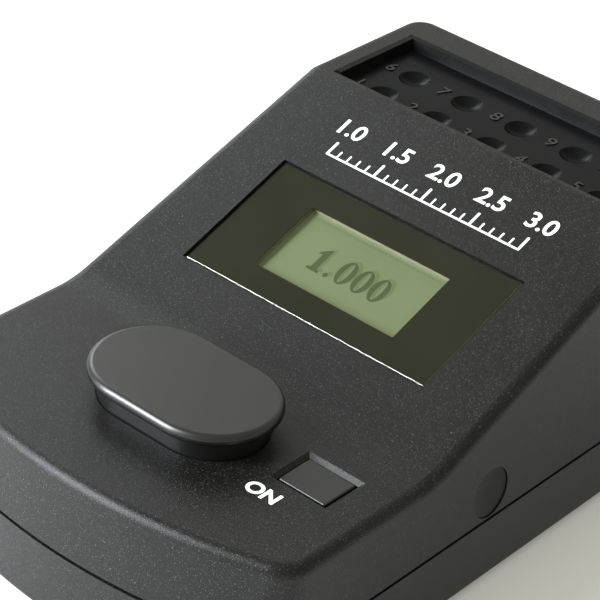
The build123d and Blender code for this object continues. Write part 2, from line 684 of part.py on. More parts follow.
def test_adapter():
    low = FRONT_DECK_HEIGHT - (ADAPTER_THICKNESS - ADAPTER_PROUD)
    plate = oval(ADAPTER_RADIUS, ADAPTER_THICKNESS, low)
    plate = chamfer(plate.faces().sort_by(Axis.Z)[-1].edges(), 0.2)
    top = low + ADAPTER_THICKNESS
    groove_floor = (0, CAP_Y, top - 0.25)
    plate -= rod(ADAPTER_RING, 1, groove_floor) - rod(ADAPTER_RING - 0.6, 1, groove_floor)
    plate -= rod(APERTURE_RADIUS, 10, (0, CAP_Y, low - 2))
    plate -= rod(PROBE_WINDOW_RADIUS + 0.05, PROBE_WINDOW_THICKNESS, (0, CAP_Y, low))
    for side in (-1, 1):
        x = side * ADAPTER_SCREW_X
        plate -= rod(1.1, 6, (x, CAP_Y, low - 1))
        plate -= Pos(x, CAP_Y, top - 0.9) * Cone(1.1, 2.0, 0.9, align=STANDING)
    return plate


def adapter_screws():
    top = FRONT_DECK_HEIGHT + ADAPTER_PROUD
    head = Cone(0.9, 1.8, 0.9, align=HANGING)
    shank = Pos(0, 0, -0.5) * Cylinder(0.9, 2.2, align=HANGING)
    cross = Box(2.4, 0.45, 0.5) + Box(0.45, 2.4, 0.5)
    screw = head + shank - Pos(0, 0, -0.2) * cross
    places = [Pos(side * ADAPTER_SCREW_X, CAP_Y, top - 0.05) for side in (-1, 1)]
    return Compound([place * screw for place in places])


def probe_window():
    low = FRONT_DECK_HEIGHT - (ADAPTER_THICKNESS - ADAPTER_PROUD)
    return rod(PROBE_WINDOW_RADIUS, PROBE_WINDOW_THICKNESS, (0, CAP_Y, low))


def sight_line(side):
    """Frame at the aperture with its Z pointing down the source's or the sensor's axis."""
    angle = radians(SOURCE_ANGLE)
    down = (side * sin(angle), 0, -cos(angle))
    return Plane(origin=(0, CAP_Y, DECK_UNDERSIDE), x_dir=(0, 1, 0), z_dir=down).location


def optic_block():
    body = block(OPTIC_WIDTH, OPTIC_DEPTH, OPTIC_HEIGHT, (0, CAP_Y, OPTIC_TOP - OPTIC_HEIGHT))
    body = chamfer(body.edges().filter_by(Axis.Z), 1.0)
    ear_top = OPTIC_TOP - OPTIC_BOSS
    ears = block(2 * OPTIC_EAR_X + 6, 7.0, OPTIC_EAR, (0, CAP_Y, ear_top - OPTIC_EAR))
    ears = fillet(ears.edges().filter_by(Axis.Z), 2.5)
    body += ears
    for side in (-1, 1):
        body -= sight_line(side) * Cylinder(2.6, 24, align=STANDING)
        body -= rod(1.1, 20, (side * OPTIC_EAR_X, CAP_Y, ear_top - 10))
        body -= rod(0.85, 4, (side * OPTIC_SCREW_X, OPTIC_SCREW_Y, OPTIC_TOP - OPTIC_HEIGHT))
    return body


def diode_lead_places(side):
    """Points (x, y) of one diode's two upright leads."""
    x = side * DIODE_LEAD_START * sin(radians(SOURCE_ANGLE))
    return [(x, CAP_Y - DIODE_LEAD_Y), (x, CAP_Y + DIODE_LEAD_Y)]


def diode(side):
    """Five-millimetre round diode on its sight line, with its two leads."""
    middle = SOURCE_START + DIODE_RADIUS
    case = Pos(0, 0, middle - 0.1) * Cylinder(DIODE_RADIUS, 3.6, align=STANDING)
    body = sight_line(side) * (case + Pos(0, 0, middle) * Sphere(DIODE_RADIUS))
    lead_top = OPTIC_TOP - DIODE_LEAD_START * cos(radians(SOURCE_ANGLE))
    lead_end = OPTIC_BOARD_TOP - BOARD_THICKNESS - 0.8
    for x, y in diode_lead_places(side):
        body += rod(0.25, lead_top - lead_end, (x, y, lead_end))
    return body


def optic_board():
    board = block(30, 18, BOARD_THICKNESS, (0, CAP_Y, OPTIC_BOARD_TOP), Align.MAX)
    board = fillet(board.edges().filter_by(Axis.Z), 1.0)
    for side in (-1, 1):
        for x, y in diode_lead_places(side):
            board -= rod(0.45, 9, (x, y, OPTIC_BOARD_TOP), Align.CENTER)
        screw_hole = (side * OPTIC_SCREW_X, OPTIC_SCREW_Y, OPTIC_BOARD_TOP)
        board -= rod(1.1, 9, screw_hole, Align.CENTER)
    underside = OPTIC_BOARD_TOP - BOARD_THICKNESS
    amplifier = block(5, 4, 1.5, (-9, CAP_Y - 4, underside), Align.MAX)
    header = block(7.5, 3, 2.4, (0, CAP_Y + 6, underside), Align.MAX)
    return board + amplifier + header


def optic_screws():
    """Two screws through the block's ears, and two that hold its board."""
    ear_screw = self_tapper(0.9, 6.0, 1.9, 1.3)
    board_screw = self_tapper(0.8, 5.0, 1.7, 1.2)
    ear_seat = OPTIC_TOP - OPTIC_BOSS - OPTIC_EAR
    board_seat = OPTIC_BOARD_TOP - BOARD_THICKNESS
    screws = []
    for side in (-1, 1):
        screws.append(Pos(side * OPTIC_EAR_X, CAP_Y, ear_seat) * ear_screw)
        screws.append(Pos(side * OPTIC_SCREW_X, OPTIC_SCREW_Y, board_seat) * board_screw)
    return Compound(screws)


def board_spacers():
    """Two collars between the optic block and its board."""
    collars = []
    length = OPTIC_TOP - OPTIC_HEIGHT - OPTIC_BOARD_TOP
    for side in (-1, 1):
        seat = (side * OPTIC_SCREW_X, OPTIC_SCREW_Y, OPTIC_BOARD_TOP)
        collars.append(rod(1.9, length, seat) - rod(1.0, 5, seat))
    return Compound(collars)


def ribbon_cable():
    """Flat cable from the optic board's header to the display board's header."""
    start_z = OPTIC_BOARD_TOP - BOARD_THICKNESS - 1.4
    start_y = CAP_Y + 7.55
    landing = on_panel(0, WINDOW_S - 19.1, DISPLAY_BOARD_BACK + 1.4).position
    route = FilletPolyline(
        (0, start_y, start_z),
        (0, start_y + 7, start_z - 2.0),
        (0, landing.Y - 6, landing.Z - 6.5),
        (0, landing.Y, landing.Z),
        radius=3.0,
    )
    return sweep(Plane(route @ 0, x_dir=(1, 0, 0), z_dir=route % 0) * Rectangle(6.4, 0.5), route)


# ---------------------------------------------------------------- ON button
def on_button():
    top = FRONT_DECK_HEIGHT - BUTTON_SINK
    flange_top = DECK_UNDERSIDE - 0.1
    height = top - flange_top + 0.4
    face = block(BUTTON_WIDTH, BUTTON_LENGTH, height, (BUTTON_X, BUTTON_Y, top), Align.MAX)
    face = fillet(face.edges().filter_by(Axis.Z), 0.5)
    face = fillet(face.faces().sort_by(Axis.Z)[-1].edges(), 0.4)
    flange_seat = (BUTTON_X, BUTTON_Y, flange_top)
    flange = block(BUTTON_WIDTH + 2.2, BUTTON_LENGTH + 2.2, BUTTON_FLANGE, flange_seat, Align.MAX)
    stem_end = SWITCH_TOP + SWITCH_PLUNGER_STAND
    stem = rod(2.6, flange_top - stem_end, (BUTTON_X, BUTTON_Y, stem_end))
    return face + flange + stem


def switch_plunger():
    length = SWITCH_PLUNGER_STAND + SWITCH_PLUNGER_ROOT
    foot = (BUTTON_X, BUTTON_Y, SWITCH_TOP - SWITCH_PLUNGER_ROOT)
    plunger = rod(SWITCH_PLUNGER_RADIUS, length, foot)
    return chamfer(plunger.edges().sort_by(Axis.Z)[-1], 0.2)


def switch_body():
    body = block(6.2, 6.2, SWITCH_HEIGHT, (BUTTON_X, BUTTON_Y, BUTTON_BOARD_TOP))
    body = chamfer(body.edges().filter_by(Axis.Z), 0.4)
    bore_floor = SWITCH_TOP - SWITCH_PLUNGER_ROOT - BUTTON_TRAVEL - 0.3
    body -= rod(SWITCH_PLUNGER_RADIUS + 0.08, 4, (BUTTON_X, BUTTON_Y, bore_floor))
    for x in (-3.4, 3.4):
        for y in (-2.2, 2.2):
            body += block(0.8, 0.7, 1.2, (BUTTON_X + x, BUTTON_Y + y, BUTTON_BOARD_TOP))
    return body


def button_board():
    seat = (BUTTON_X, BUTTON_Y, BUTTON_BOARD_TOP)
    board = block(9.5, 2 * BUTTON_POST_Y + 6, BOARD_THICKNESS, seat, Align.MAX)
    board = fillet(board.edges().filter_by(Axis.Z), 1.0)
    for side in (-1, 1):
        hole = (BUTTON_X, BUTTON_Y + side * BUTTON_POST_Y, BUTTON_BOARD_TOP)
        board -= rod(1.1, 9, hole, Align.CENTER)
    return board


def button_board_screws():
    screw = self_tapper(0.9, 5.5, 1.8, 1.3)
    seat = BUTTON_BOARD_TOP - BOARD_THICKNESS
    places = [Pos(BUTTON_X, BUTTON_Y + side * BUTTON_POST_Y, seat) for side in (-1, 1)]
    return Compound([place * screw for place in places])


# ---------------------------------------------------------------- stone tray
def stone_tray():
    half = TRAY_HALF + TRAY_SLOPE
    rear = TRAY_FLOOR_REAR_Y + TRAY_SLOPE
    base = TRAY_FLOOR_Z - TRAY_FLOOR
    tray = slab(-half, half, TRAY_FRONT_Y, rear, base, TRAY_TOP)
    wide = half + TRAY_FLANGE
    flange_low = TRAY_TOP - TRAY_FLANGE_THICKNESS
    flange = slab(-wide, wide, TRAY_FRONT_Y, rear + TRAY_FLANGE, flange_low, TRAY_TOP)
    flange = fillet(flange.edges().filter_by(Axis.Z).sort_by(Axis.Y)[-2:], 2.0)
    tray += flange

    # Sunken floor with sloping sides and rear, open at the front
    reach = TRAY_SLOPE
    front = TRAY_FRONT_Y - 5
    low_centre = Pos(0, (front + TRAY_FLOOR_REAR_Y) / 2, TRAY_FLOOR_Z)
    low_face = low_centre * Rectangle(2 * TRAY_HALF, TRAY_FLOOR_REAR_Y - front)
    high_centre = Pos(0, (front + TRAY_FLOOR_REAR_Y + reach) / 2, TRAY_TOP)
    high_face = high_centre * Rectangle(2 * (TRAY_HALF + reach), TRAY_FLOOR_REAR_Y + reach - front)
    tray -= loft([low_face, high_face])
    tray -= slab(-wide, wide, TRAY_FRONT_Y - 1, TRAY_FRONT_Y + 0.4, RIDGE_Z - 0.3, TRAY_TOP + 1)

    # Dished wells for the stones
    ball = (WELL_RADIUS**2 + WELL_DEPTH**2) / (2 * WELL_DEPTH)
    for x, y in well_places():
        tray -= Pos(x, y, TRAY_FLOOR_Z + ball - WELL_DEPTH) * Sphere(ball)
    return tray


# ---------------------------------------------------------------- power
def cell_ends(i):
    """X of the flat end and of the raised end of one cell; they alternate."""
    flat = -BAY_LENGTH / 2 + CONTACT_THICKNESS + SPRING_LENGTH
    raised = BAY_LENGTH / 2 - CONTACT_THICKNESS
    sign = -1 if i % 2 else 1
    return sign * flat, sign * raised


def cell_y(i):
    return BAY_REAR_Y - BAY_CLEARANCE / 2 - CELL_PITCH * (i + 0.5)


def battery_cells():
    cells = []
    for i in range(CELL_COUNT):
        flat, raised = cell_ends(i)
        sign = 1 if raised > 0 else -1
        can = Cylinder(CELL_RADIUS, CELL_LENGTH - 0.9, align=STANDING)
        can = fillet(can.edges(), 0.4)
        nub = Cylinder(1.9, CELL_LENGTH, align=STANDING)
        place = Plane(origin=(flat, cell_y(i), CELL_Z), x_dir=(0, 1, 0), z_dir=(sign, 0, 0))
        cells.append(place.location * (can + nub))
    return Compound(cells)


def battery_springs():
    springs = []
    wire = 0.35
    for i in range(CELL_COUNT):
        flat, raised = cell_ends(i)
        sign = 1 if raised > 0 else -1
        path = Helix(pitch=1.4, height=SPRING_LENGTH - 2 * wire - 0.1, radius=2.8)
        section = Plane(origin=path @ 0, z_dir=path % 0) * Circle(wire)
        coil = sweep(section, path)
        start = flat - sign * (SPRING_LENGTH - wire - 0.05)
        place = Plane(origin=(start, cell_y(i), CELL_Z), x_dir=(0, 1, 0), z_dir=(sign, 0, 0))
        springs.append(place.location * coil)
    return Compound(springs)


def battery_contacts():
    plates = []
    x = BAY_LENGTH / 2
    for i in range(CELL_COUNT):
        for side in (-1, 1):
            inner = side * (x - CONTACT_THICKNESS / 2)
            plates.append(Pos(inner, cell_y(i), CELL_Z) * Box(CONTACT_THICKNESS, 8.6, 9.0))
    return Compound(plates)


def battery_leads():
    """Two insulated wires from the bay's right wall to the socket's board."""
    wires = []
    wire_z = BAY_CEILING + BAY_WALL + 1.0
    for i in range(2):
        start_y = BAY_REAR_Y - 6.0 - 3.0 * i
        end = (SOCKET_X - 4.5 + 2.4 * i, POWER_BOARD_Y - 5.0, POWER_BOARD_TOP + 0.6)
        route = FilletPolyline(
            (BAY_LENGTH / 2 - 6, start_y, wire_z),
            (BAY_LENGTH / 2 + 5.5 + 2.0 * i, start_y, wire_z),
            (end[0], end[1] - 5.0, POWER_BOARD_TOP + 4.0),
            end,
            radius=2.0,
        )
        wires.append(sweep(Plane(origin=route @ 0, z_dir=route % 0) * Circle(0.6), route))
    return Compound(wires)


def power_screw_places():
    return [(SOCKET_X + side * POWER_SCREW_X, POWER_SCREW_Y, POWER_BOARD_TOP) for side in (-1, 1)]


def power_board():
    seat = (SOCKET_X, POWER_BOARD_Y, POWER_BOARD_TOP)
    board = block(18, 13, BOARD_THICKNESS, seat, Align.MAX)
    board = fillet(board.edges().filter_by(Axis.Z), 1.0)
    for place in power_screw_places():
        board -= rod(0.9, 9, place, Align.CENTER)
    return board


def power_board_screws():
    screw = self_tapper(0.75, 4.8, 1.6, 1.1)
    flip = Location((0, 0, 0), (180, 0, 0))
    return Compound([Location(place) * flip * screw for place in power_screw_places()])


def power_socket():
    wall_x = tan(radians(LOWER_DRAFT)) * (LOWER_RIM - SOCKET_HEIGHT)
    mouth_y = REAR_Y - wall_x - 0.6
    mouth = Pos(SOCKET_X, mouth_y, SOCKET_HEIGHT)
    shell = mouth * Box(SOCKET_WIDTH, SOCKET_LENGTH, SOCKET_TALL, align=FROM_MOUTH)
    shell = fillet(shell.edges().filter_by(Axis.Y), 0.6)
    cavity_width = SOCKET_WIDTH - 2 * SOCKET_SHEET
    cavity_tall = SOCKET_TALL - 2 * SOCKET_SHEET
    cavity = mouth * Box(cavity_width, SOCKET_LENGTH - 1.2, cavity_tall, align=FROM_MOUTH)
    tongue = Pos(0, -1.2, 0) * Box(SOCKET_WIDTH - 3.2, SOCKET_LENGTH - 1.8, 0.9, align=FROM_MOUTH)
    return shell - cavity + mouth * tongue


# ---------------------------------------------------------------- export
NODES = {
    "upper_case": upper_case,
    "lower_case": lower_case,
    "battery_door": battery_door,
    "rubber_feet": rubber_feet,
    "case_screws": case_screws,
    "side_plugs": side_plugs,
    "window_lens": window_lens,
    "window_mask": window_mask,
    "lcd_bezel": lcd_bezel,
    "lcd_front_glass": lcd_front_glass,
    "lcd_rear_glass": lcd_rear_glass,
    "backlight_panel": backlight_panel,
    "zebra_strips": zebra_strips,
    "display_board": display_board,
    "controller_chip": controller_chip,
    "board_components": board_components,
    "buzzer": buzzer,
    "display_board_screws": display_board_screws,
    "light_cap": light_cap,
    "cap_lining": cap_lining,
    "test_adapter": test_adapter,
    "adapter_screws": adapter_screws,
    "probe_window": probe_window,
    "optic_block": optic_block,
    "light_source": lambda: diode(-1),
    "light_sensor": lambda: diode(1),
    "optic_board": optic_board,
    "optic_screws": optic_screws,
    "board_spacers": board_spacers,
    "ribbon_cable": ribbon_cable,
    "on_button": on_button,
    "switch_plunger": switch_plunger,
    "switch_body": switch_body,
    "button_board": button_board,
    "button_board_screws": button_board_screws,
    "stone_tray": stone_tray,
    "battery_cells": battery_cells,
    "battery_springs": battery_springs,
    "battery_contacts": battery_contacts,
    "battery_leads": battery_leads,
    "power_board": power_board,
    "power_board_screws": power_board_screws,
    "power_socket": power_socket,
}

for name, make in NODES.items():
    export_step(make(), f"parts/{name}.step")
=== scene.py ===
"""Looks of the desk-top refractive index meter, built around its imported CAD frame."""

from math import cos, pi, radians, sin

import bmesh
import bpy
from mathutils import Matrix, Vector


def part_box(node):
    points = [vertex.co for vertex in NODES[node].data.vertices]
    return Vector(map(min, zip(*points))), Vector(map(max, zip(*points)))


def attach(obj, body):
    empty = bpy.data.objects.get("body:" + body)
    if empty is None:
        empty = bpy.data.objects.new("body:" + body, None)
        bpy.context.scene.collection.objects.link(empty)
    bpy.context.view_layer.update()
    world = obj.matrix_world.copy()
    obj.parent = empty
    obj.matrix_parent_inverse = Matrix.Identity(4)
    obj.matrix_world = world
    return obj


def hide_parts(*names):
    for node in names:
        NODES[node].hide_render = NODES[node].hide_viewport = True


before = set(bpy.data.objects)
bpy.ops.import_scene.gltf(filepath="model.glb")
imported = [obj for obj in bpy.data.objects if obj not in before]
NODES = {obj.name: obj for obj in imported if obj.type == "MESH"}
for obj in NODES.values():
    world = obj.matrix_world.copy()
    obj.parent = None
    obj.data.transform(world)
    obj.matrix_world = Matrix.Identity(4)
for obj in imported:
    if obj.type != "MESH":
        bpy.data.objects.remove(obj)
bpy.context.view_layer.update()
MM = 0.001

# ---------------------------------------------------------------- sizes that match the CAD
PANEL_TILT = radians(20.6)
LENS_BACK = 0.7 * MM            # these three are below the panel's face
MASK_MIDDLE = 0.8 * MM
LCD_DEPTH = 2.4 * MM
MASK_WIDTH = 64.8 * MM
MASK_LENGTH = 32.9 * MM
MASK_CORNER = 0.5 * MM
OPENING_WIDTH = 37.5 * MM       # the mask's opening over the display
OPENING_LENGTH = 19.0 * MM
OPENING_CORNER = 0.35 * MM
CAP_HEIGHT = 7.1 * MM           # the light cap's top above the front deck
TRAY_FLOOR_DROP = 2.45 * MM     # below the tray's rim
FIRST_WELL_ROW = 3.55 * MM      # behind the tray's front edge
WELL_PITCH_X = 15.0 * MM
WELL_PITCH_Y = 11.3 * MM
WELL_ROWS = 2
WELLS_PER_ROW = 5

# ---------------------------------------------------------------- sizes of what is printed or shown
MASK_GAP = 0.02 * MM            # keeps the print clear of the lens's own back face
MASK_PRINT = 0.16 * MM

READING_HEIGHT = 6.7 * MM
READING_PITCH = 4.45 * MM
READING_THICKNESS = 0.02 * MM
READING_STAND = 0.03 * MM       # its base above the display's face
READING_SHIFT = (0.4 * MM, -0.15 * MM)      # across and up the slope, from the window's middle
SHADE_THICKNESS = 0.01 * MM
SHADE_STAND = 0.005 * MM
SHADE_SHIFT = (1.1 * MM, 0.55 * MM)
ONE_STEM = 0.75 * MM            # half widths of the 1
ONE_FOOT = 1.6 * MM
ONE_FOOT_HEIGHT = 0.6 * MM
ZERO_HALF_WIDTH = 2.0 * MM
ZERO_HOLE_HALF_WIDTH = 0.75 * MM
ZERO_CURVE_THICKNESS = 0.45 * MM
POINT_RADIUS = 0.6 * MM
ONE_AT = -2.0                   # these three are in pitches from the reading's middle
POINT_AT = -1.24
FIRST_ZERO_AT = -0.45

INK = 0.03 * MM                 # thickness of the white print
SCALE_START = 1.0
SCALE_STEP = 0.1
SCALE_STEPS = 20
STEPS_PER_FIGURE = 5
SCALE_HALF = 26.0 * MM
SCALE_S = 22.9 * MM             # these two are up the slope from the window's middle
SCALE_FIGURES_S = 31.4 * MM
SCALE_FIGURE_SIZE = 6.2 * MM
SCALE_FIGURE_WEIGHT = 0.1 * MM
RULE_WIDTH = 0.5 * MM
STRIP_CLIP = 0.25               # clipped corner, as a share of a strip's smaller side
LONG_TICK = (0.62 * MM, 4.2 * MM)
SHORT_TICK = (0.42 * MM, 2.4 * MM)

WORD_SIZE = 4.9 * MM
WORD_WEIGHT = 0.16 * MM
WORD_LEFT = 1.3 * MM            # from the left and front edges of the button's flange
WORD_FRONT = 5.3 * MM

TRAY_FIGURE_SIZE = 5.0 * MM
TRAY_FIGURE_SIZE_TWO_DIGITS = 4.0 * MM
TRAY_FIGURE_RAISE = 0.25 * MM
TRAY_FIGURE_WEIGHT = 0.03 * MM
TRAY_FIGURE_LEFT = 6.9 * MM     # from the middle of its well

# ---------------------------------------------------------------- strengths of the looks
# painted glow of the display, standing in for light; the display is no lamp
LCD_PAINTED_GLOW = 0.54
# painted glints on the grain's tips, standing in for specular sparkle
GLINT_FROM = 0.60               # noise at which the grain's tips begin, and are full
GLINT_FULL = 0.76
GLASS_INDEX = 1.5
LENS_BEVEL = 0.80               # cosine to the panel's normal, on a bevel and on the flat face
LENS_FLAT = 0.98

# ---------------------------------------------------------------- places read from the frame
mask_low, mask_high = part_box("window_mask")
tray_low, tray_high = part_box("stone_tray")
button_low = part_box("on_button")[0]

DECK_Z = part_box("light_cap")[1].z - CAP_HEIGHT
UP_SLOPE = Vector((0, cos(PANEL_TILT), sin(PANEL_TILT)))
PANEL_NORMAL = Vector((0, -sin(PANEL_TILT), cos(PANEL_TILT)))
PANEL_FACE = (mask_low + mask_high) / 2 + PANEL_NORMAL * MASK_MIDDLE
PANEL_TURN = Matrix.Rotation(PANEL_TILT, 4, "X")


def on_panel(x, s, depth):
    """Matrix of a place on the panel: x across, s up the slope from the window's middle."""
    spot = PANEL_FACE + Vector((x, 0, 0)) + UP_SLOPE * s - PANEL_NORMAL * depth
    return Matrix.Translation(spot) @ PANEL_TURN


# ---------------------------------------------------------------- material tools
def new_material(name, color, roughness, metallic=0.0, specular=0.5):
    """Material with one Principled shader, and the handles to add detail."""
    mat = bpy.data.materials.new(name)
    mat.use_nodes = True
    shader = mat.node_tree.nodes["Principled BSDF"]
    shader.inputs["Base Color"].default_value = (*color, 1)
    shader.inputs["Roughness"].default_value = roughness
    shader.inputs["Metallic"].default_value = metallic
    shader.inputs["Specular IOR Level"].default_value = specular
    return mat, mat.node_tree, shader


def noise(tree, scale, detail=2.0, roughness=0.5, stretch=(1, 1, 1)):
    """Noise over the object's own coordinates, in metres; scale is in cycles per metre."""
    coords = tree.nodes.new("ShaderNodeTexCoord")
    mapping = tree.nodes.new("ShaderNodeMapping")
    mapping.inputs["Scale"].default_value = stretch
    tex = tree.nodes.new("ShaderNodeTexNoise")
    tex.inputs["Scale"].default_value = scale
    tex.inputs["Detail"].default_value = detail
    tex.inputs["Roughness"].default_value = roughness
    tree.links.new(coords.outputs["Object"], mapping.inputs["Vector"])
    tree.links.new(mapping.outputs["Vector"], tex.inputs["Vector"])
    return tex.outputs["Fac"]


def spread(tree, value, low, high, from_low=0.3, from_high=0.7):
    """Maps a value to a range."""
    node = tree.nodes.new("ShaderNodeMapRange")
    node.inputs["From Min"].default_value = from_low
    node.inputs["From Max"].default_value = from_high
    node.inputs["To Min"].default_value = low
    node.inputs["To Max"].default_value = high
    tree.links.new(value, node.inputs["Value"])
    return node.outputs["Result"]


def tint(tree, value, dark, light, from_low=0.3, from_high=0.7):
    """Colour ramp between two colours."""
    ramp = tree.nodes.new("ShaderNodeValToRGB")
    ramp.color_ramp.elements[0].position = from_low
    ramp.color_ramp.elements[0].color = (*dark, 1)
    ramp.color_ramp.elements[1].position = from_high
    ramp.color_ramp.elements[1].color = (*light, 1)
    tree.links.new(value, ramp.inputs["Fac"])
    return ramp.outputs["Color"]


def uneven_gloss(tree, shader, value, low, high):
    """Lets a noise value move the roughness between two limits."""
    tree.links.new(spread(tree, value, low, high), shader.inputs["Roughness"])


def bump(tree, shader, height, strength, distance):
    """Bumps the surface by a height field."""
    node = tree.nodes.new("ShaderNodeBump")
    node.inputs["Strength"].default_value = strength
    node.inputs["Distance"].default_value = distance
    tree.links.new(height, node.inputs["Height"])
    tree.links.new(node.outputs["Normal"], shader.inputs["Normal"])


def plastic(name, dark, light, roughness, grain=2600, grain_depth=0.02, strength=0.5, mottle=90,
            specular=0.4, painted_glint=None):
    """Moulded plastic with an eroded grain, faint mottling and uneven gloss.

    Its glint colour is painted on the grain's raised tips, as painted highlights where they catch
    the light.
    """
    mat, tree, shader = new_material(name, light, roughness, specular=specular)
    patches = noise(tree, mottle, 3)
    color = tint(tree, patches, dark, light)
    fine = noise(tree, grain, 2.5, 0.6)
    # painted highlight: a light colour on the grain's tips stands in for glints
    if painted_glint:
        mix = tree.nodes.new("ShaderNodeMix")
        mix.data_type = "RGBA"
        tips = spread(tree, fine, 0.0, 1.0, GLINT_FROM, GLINT_FULL)
        tree.links.new(tips, mix.inputs["Factor"])
        tree.links.new(color, mix.inputs["A"])
        mix.inputs["B"].default_value = (*painted_glint, 1)
        color = mix.outputs["Result"]
    tree.links.new(color, shader.inputs["Base Color"])
    uneven_gloss(tree, shader, fine, roughness - 0.07, roughness + 0.09)
    bump(tree, shader, fine, strength, grain_depth * MM)
    return mat


def striped(name, axis, pitch, edge, middle, roughness):
    """Plastic in two colours that alternate along one axis: conductors, or a sleeve and its ends."""
    mat, tree, shader = new_material(name, middle, roughness)
    coords = tree.nodes.new("ShaderNodeTexCoord")
    wave = tree.nodes.new("ShaderNodeTexWave")
    wave.bands_direction = axis
    # at scale s the texture's bands repeat every pi / (10 s)
    wave.inputs["Scale"].default_value = pi / 10 / pitch
    wave.inputs["Phase Offset"].default_value = pi / 2
    tree.links.new(coords.outputs["Object"], wave.inputs["Vector"])
    band = tint(tree, wave.outputs["Fac"], edge, middle, 0.02, 0.06)
    tree.links.new(band, shader.inputs["Base Color"])
    gloss = noise(tree, 1800)
    uneven_gloss(tree, shader, gloss, roughness - 0.06, roughness + 0.08)
    bump(tree, shader, gloss, 0.2, 0.01 * MM)
    return mat


def circuit_board():
    """Green solder mask over a grid of copper runs."""
    mat, tree, shader = new_material("circuit_board", (0.012, 0.085, 0.03), 0.32)
    coords = tree.nodes.new("ShaderNodeTexCoord")
    runs = tree.nodes.new("ShaderNodeTexBrick")
    runs.inputs["Scale"].default_value = 260
    runs.inputs["Mortar Size"].default_value = 0.035
    runs.inputs["Color1"].default_value = (0.010, 0.075, 0.026, 1)
    runs.inputs["Color2"].default_value = (0.012, 0.090, 0.032, 1)
    runs.inputs["Mortar"].default_value = (0.045, 0.19, 0.06, 1)
    tree.links.new(coords.outputs["Object"], runs.inputs["Vector"])
    tree.links.new(runs.outputs["Color"], shader.inputs["Base Color"])
    uneven_gloss(tree, shader, noise(tree, 700), 0.26, 0.4)
    bump(tree, shader, runs.outputs["Fac"], 0.3, 0.03 * MM)
    return mat


def metal(name, color, roughness, stretch=(1, 1, 1)):
    """Worn metal with fine machining lines."""
    mat, tree, shader = new_material(name, color, roughness, metallic=1.0)
    lines = noise(tree, 1400, 3, 0.6, stretch)
    uneven_gloss(tree, shader, lines, roughness - 0.06, roughness + 0.10)
    bump(tree, shader, lines, 0.3, 0.01 * MM)
    return mat


def gloss_ink():
    """Dark olive print on the back of the lens."""
    mat, tree, shader = new_material("mask_ink", (0.010, 0.010, 0.006), 0.12, specular=0.5)
    patches = noise(tree, 60, 2)
    color = tint(tree, patches, (0.009, 0.009, 0.005), (0.012, 0.012, 0.007))
    tree.links.new(color, shader.inputs["Base Color"])
    uneven_gloss(tree, shader, noise(tree, 900), 0.10, 0.14)
    return mat


def lens_glass():
    """Clear window: its bevels carry the gloss, and its flat face shows that of the print below."""
    mat = bpy.data.materials.new("window_glass")
    mat.use_nodes = True
    tree = mat.node_tree
    tree.nodes.remove(tree.nodes["Principled BSDF"])
    output = tree.nodes["Material Output"]
    clear = tree.nodes.new("ShaderNodeBsdfTransparent")
    clear.inputs["Color"].default_value = (0.95, 0.965, 0.93, 1)
    gloss = tree.nodes.new("ShaderNodeBsdfGlossy")
    gloss.inputs["Roughness"].default_value = 0.03
    fresnel = tree.nodes.new("ShaderNodeFresnel")
    fresnel.inputs["IOR"].default_value = GLASS_INDEX
    geometry = tree.nodes.new("ShaderNodeNewGeometry")
    flatness = tree.nodes.new("ShaderNodeVectorMath")
    flatness.operation = "DOT_PRODUCT"
    flatness.inputs[1].default_value = PANEL_NORMAL
    tree.links.new(geometry.outputs["Normal"], flatness.inputs[0])
    factor = spread(tree, flatness.outputs["Value"], 1.0, 0.0, LENS_BEVEL, LENS_FLAT)
    for value, operation in ((fresnel.outputs["Fac"], "MULTIPLY"),
                             (geometry.outputs["Backfacing"], "SUBTRACT")):
        step = tree.nodes.new("ShaderNodeMath")
        step.operation = operation
        step.use_clamp = True
        tree.links.new(factor, step.inputs[0])
        tree.links.new(value, step.inputs[1])
        factor = step.outputs["Value"]
    mix = tree.nodes.new("ShaderNodeMixShader")
    tree.links.new(factor, mix.inputs["Fac"])
    tree.links.new(clear.outputs["BSDF"], mix.inputs[1])
    tree.links.new(gloss.outputs["BSDF"], mix.inputs[2])
    tree.links.new(mix.outputs["Shader"], output.inputs["Surface"])
    return mat


def lcd_cell(name, dark, light):
    """Grey-green liquid-crystal surface, with a painted glow that stands in for the light it
    reflects.
    """
    mat, tree, shader = new_material(name, light, 0.15, specular=0.5)
    color = tint(tree, noise(tree, 45, 2), dark, light)
    tree.links.new(color, shader.inputs["Base Color"])
    # painted light: the emission makes the display glow though it is no lamp
    tree.links.new(color, shader.inputs["Emission Color"])
    shader.inputs["Emission Strength"].default_value = LCD_PAINTED_GLOW
    uneven_gloss(tree, shader, noise(tree, 1600), 0.12, 0.18)
    return mat


